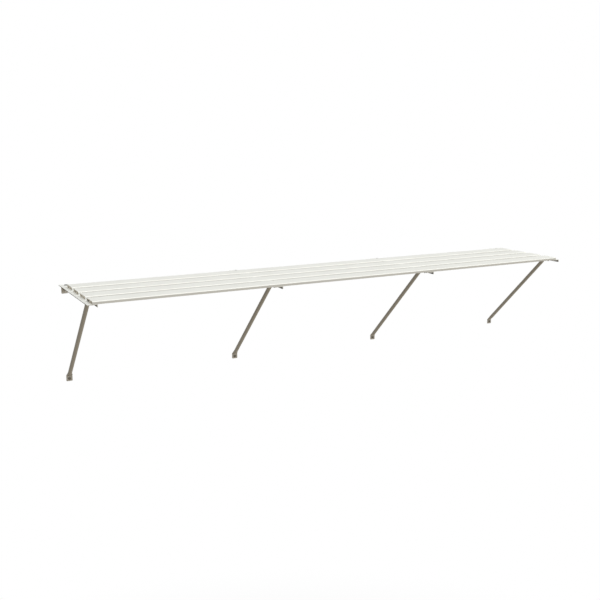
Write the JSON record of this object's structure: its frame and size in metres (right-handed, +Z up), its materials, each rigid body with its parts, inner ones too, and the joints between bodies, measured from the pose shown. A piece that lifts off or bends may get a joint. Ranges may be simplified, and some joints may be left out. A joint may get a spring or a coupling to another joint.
{
  "type": "slatted wall shelf",
  "caption": "Long slatted aluminium wall shelf on angle arms, each held by a diagonal tube strut bolted to the wall; carries pots, trays and light storage.",
  "frame": {"origin": "on the wall plane, at the centre of the rectangle made by the outermost wall bolts, half way along the shelf and half way between its upper and lower wall bolts", "axes": "+X along the wall towards the right-hand end as seen from the room, +Y into the wall, +Z up"},
  "size_m": [2.228, 0.46, 0.4098],
  "materials": {
    "slat": "satin extruded, faint lengthwise drawing lines",
    "arm": "satin extruded angle with cut ends",
    "strut": "satin drawn tube, pressed flat at both ends",
    "cleat": "satin extruded angle",
    "fastener": "bright zinc plate, slightly dulled",
    "wall_fastener": "zinc plate, duller than the shelf's own bolts"
  },
  "bodies": {
    "root": {"arm_1": "arm", "arm_2": "arm", "arm_3": "arm", "arm_4": "arm", "cleat_bolt_1": "fastener", "cleat_bolt_2": "fastener", "cleat_bolt_3": "fastener", "cleat_bolt_4": "fastener", "cleat_nut_1": "fastener", "cleat_nut_2": "fastener", "cleat_nut_3": "fastener", "cleat_nut_4": "fastener", "lower_wall_bolt_1": "wall_fastener", "lower_wall_bolt_2": "wall_fastener", "lower_wall_bolt_3": "wall_fastener", "lower_wall_bolt_4": "wall_fastener", "slat_1": "slat", "slat_2": "slat", "slat_3": "slat", "slat_4": "slat", "slat_bolts_1": "fastener", "slat_bolts_2": "fastener", "slat_bolts_3": "fastener", "slat_bolts_4": "fastener", "slat_nuts_1": "fastener", "slat_nuts_2": "fastener", "slat_nuts_3": "fastener", "slat_nuts_4": "fastener", "strut_1": "strut", "strut_2": "strut", "strut_3": "strut", "strut_4": "strut", "strut_bolt_1": "fastener", "strut_bolt_2": "fastener", "strut_bolt_3": "fastener", "strut_bolt_4": "fastener", "strut_nut_1": "fastener", "strut_nut_2": "fastener", "strut_nut_3": "fastener", "strut_nut_4": "fastener", "upper_wall_bolt_1": "wall_fastener", "upper_wall_bolt_2": "wall_fastener", "upper_wall_bolt_3": "wall_fastener", "upper_wall_bolt_4": "wall_fastener", "wall_cleat_1": "cleat", "wall_cleat_2": "cleat", "wall_cleat_3": "cleat", "wall_cleat_4": "cleat"}
  },
  "joints": []
}
